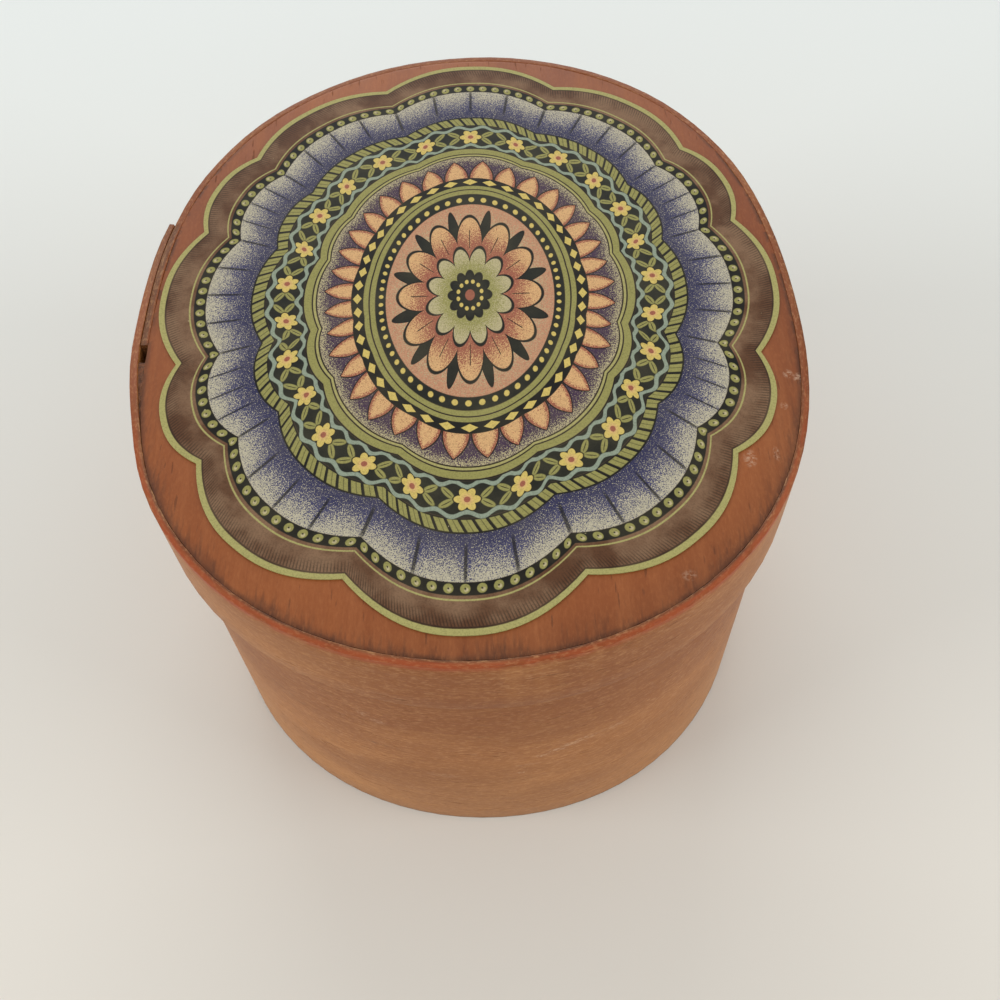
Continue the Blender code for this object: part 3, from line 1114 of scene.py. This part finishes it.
POINTED, PETAL_TIP, PETAL_FOOT, PETAL_HALF, SPACED_AT = 36, 22.5, 26.3, 1.75, 25.0
petal_x = abs(cell(POINTED, SPACED_AT))
rise = (PETAL_FOOT - deep) * (1 / (PETAL_FOOT - PETAL_TIP))
petal_room = (1 - rise * rise) * PETAL_HALF - petal_x
on_ring = deep.between(PETAL_TIP, PETAL_FOOT, SOFT)
printed = printed.paint(petal_room.ramp(-0.18, -0.05) * on_ring, INK)
petal = stipple(petal_room.ramp(0.1, 0.9) * 0.9 + rise * 0.2).mixed(TERRACOTTA, PEACH)
printed = printed.paint(petal_room.ramp(0.02, 0.14) * on_ring, petal)

LOZENGES, LOZENGE_DEPTH, LOZENGE_HALF, LOZENGE_TALL = 44, 27.15, 1.05, 0.62
printed = ring(printed, *LOZENGE_RING, INK)
lozenge = (abs(cell(LOZENGES, LOZENGE_DEPTH)) * (1 / LOZENGE_HALF)
           + abs(deep - LOZENGE_DEPTH) * (1 / LOZENGE_TALL))
printed = printed.paint(1 - lozenge.ramp(0.90, 1.06), YELLOW)
for border in LAST_LINES:
    printed = ring(printed, *border)
print("Pointed petals:", POINTED, "lozenges:", LOZENGES)

# %% [markdown]
# ### Rosette
#
# The middle is an oval rosette on a rosy ground: leaves, twelve broad petals, an inner row set
# between them, and a dark heart with seeds. Inside the frame the share of the way out is itself
# an oval distance, and the angle is taken on the oval squeezed to a circle.

# %% Rosette
out = share * (1 / FRAME_SHARE)
x, y, _ = label_place.node("Mapping", {"Vector": label_place, "Location": (
    -FRAME_CENTRE.x, -FRAME_CENTRE.y - LABEL_SHIFT, 0)}).parts()
angle = (y * (1 / FRAME_HALVES[1])).math("ARCTAN2", x * (1 / FRAME_HALVES[0]))
BROAD, SEEDS, FRAME_DOTS, DOTS_AT = 12, 12, 60, 0.93
between = abs((angle * (BROAD / 2)).math("SINE"))
facing = abs((angle * (BROAD / 2)).math("COSINE"))


def layer(colour, edge, fill, line=0.016):
    """Lay a filled shape with an inked outline over the rosette, out to an edge."""
    colour = colour.paint(1 - (out - edge).ramp(line - 0.006, line + 0.006), INK)
    return colour.paint(1 - (out - edge).ramp(-line - 0.006, -line + 0.006), fill)


ground = stipple(out.ramp(0.35, 1.0)).mixed(CREAM, ROSE)
rosette = layer(ground, between ** 4 * 0.40 + 0.42, LEAF_GREEN)
broad_fill = stipple(out.ramp(0.36, 0.74) - between * 0.25).mixed(TERRACOTTA, PEACH)
rosette = layer(rosette, facing ** 0.7 * 0.26 + 0.50, broad_fill)
rosette = rosette.paint((1 - between.ramp(0.02, 0.07)) * out.between(0.44, 0.62, 0.01), INK)
inner_fill = stipple(out.ramp(0.18, 0.46)).mixed(OLIVE, CREAM)
rosette = layer(rosette, between ** 0.7 * 0.14 + 0.32, inner_fill)
rosette = layer(rosette, facing ** 0.8 * 0.05 + 0.17, LEAF_GREEN)
seed_turn = ((angle * (SEEDS / TURN)).math("FRACT") - 0.5) * 0.062
from_seed = (seed_turn * seed_turn + (out - 0.125) ** 2.0).math("SQRT")
rosette = rosette.paint(1 - from_seed.ramp(0.016, 0.022), YELLOW)
rosette = rosette.paint(1 - out.ramp(0.045, 0.055), TERRACOTTA)
rosette = rosette.paint(out.ramp(0.875, 0.885), LEAF_GREEN)
dot_turn = ((even * FRAME_DOTS).math("FRACT") - 0.5) * 1.72
rosette = rosette.paint(disc(dot_turn, (out - DOTS_AT) * 16.6, 0.40), YELLOW)
printed = printed.paint(1 - out.ramp(0.985, 1.0), rosette)
print("Broad petals:", BROAD, "seeds:", SEEDS)

# %% [markdown]
# ### Age
#
# The inks have faded in clouds, the paper's fibres show as a fine grain, and here and there a
# speck of ink has come off and shows cream. The varnish is a little uneven too.

# %% Ageing and the shader's sockets
PAPER_GLOSS, PAPER_DEPTH = 0.15, 0.02 * MM
printed = printed.paint(paper_cloud.ramp(0.30, 0.75) * 0.06, CREAM)
printed = printed.paint((1 - paper_grain.ramp(0.30, 0.58)) * 0.24, INK)
specks = label_place.grain(900, 3.0, 0.7).ramp(0.735, 0.76)
printed = printed.paint(specks * 0.7, CREAM)
label_shader.inputs["Specular IOR Level"].default_value = PAPER_GLOSS
feed(label_shader, "Base Color", printed)
feed(label_shader, "Roughness", 0.50 + paper_cloud * 0.14)
feed(label_shader, "Normal", relief(paper_grain + paper_cloud * 2, PAPER_DEPTH))
finish_piece(label, "lid", "paper_label", label_print)

# %% [markdown]
# ## Floor and light
#
# The box stands on a plain pale surface. Its colour goes from warm at the front to cool at the
# back, which is painted light. Large soft lamps stand on each side of it, so the flanks of the base
# are lit nearly as well as the top. A weaker one stands in front, and a low one behind gives the
# far part of the lid a soft sheen. The room's own light is even, and looks brighter to the camera
# than it shines, so that the background is pale.

# %% Floor, backdrop and lamps
FLOOR_SIZE, FLOOR_BELOW, FLOOR_ROUGHNESS = 3.0, 0.05 * MM, 0.8
WARM_FLOOR_LIGHT, COOL_FLOOR_LIGHT = srgb(222, 217, 206), srgb(224, 228, 224)
ROOM_COLOUR, ROOM_LIGHT, SEEN_BRIGHTER = (0.97, 0.98, 1.0, 1.0), 0.61, 0.24
clear_selection()
bpy.ops.mesh.primitive_plane_add(size=FLOOR_SIZE, location=(0, 0, -FLOOR_BELOW))
floor = name_piece("floor")
paper, paper_shader, spot = new_finish("floor_paper")
# The floor's change from warm at the front to cool at the back is painted light.
far = spot.parts()[1].ramp(-0.12, 0.20)
feed(paper_shader, "Base Color", far.mixed(WARM_FLOOR_LIGHT, COOL_FLOOR_LIGHT))
paper_shader.inputs["Roughness"].default_value = FLOOR_ROUGHNESS
floor.data.materials.append(paper)
floor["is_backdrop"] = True

world = bpy.data.worlds.new("soft_room")
bpy.context.scene.world = world
world.use_nodes = True
backdrop = world.node_tree.nodes["Background"]
backdrop.inputs["Color"].default_value = ROOM_COLOUR
ray = world.node_tree.nodes.new("ShaderNodeLightPath")
seen = Value(world.node_tree, ray.outputs["Is Camera Ray"])
feed(backdrop, "Strength", seen * SEEN_BRIGHTER + ROOM_LIGHT)


def soft_lamp(name, place, side, power):
    """Square lamp that faces the middle of the box."""
    lamp = bpy.data.lights.new(name, "AREA")
    lamp.size = side
    lamp.energy = power
    holder = bpy.data.objects.new(name, lamp)
    bpy.context.scene.collection.objects.link(holder)
    holder.location = place
    towards = Vector((0, 0, RIM / 2)) - Vector(place)
    holder.rotation_euler = towards.to_track_quat("-Z", "Y").to_euler()


soft_lamp("lamp_left", (-1.0, -0.25, 0.50), 0.6, 4.9)
soft_lamp("lamp_right", (1.0, -0.25, 0.42), 0.6, 4.5)
soft_lamp("lamp_front", (0.0, -0.95, 0.60), 0.8, 1.1)
soft_lamp("lamp_behind", (-0.10, 1.15, 0.66), 0.9, 6.0)

# %% [markdown]
# ## Size
#
# The visual model has to stay inside the CAD model's box, so both boxes are written down.

# %% Size
low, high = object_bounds()
show("Visual box:", *(high - low))
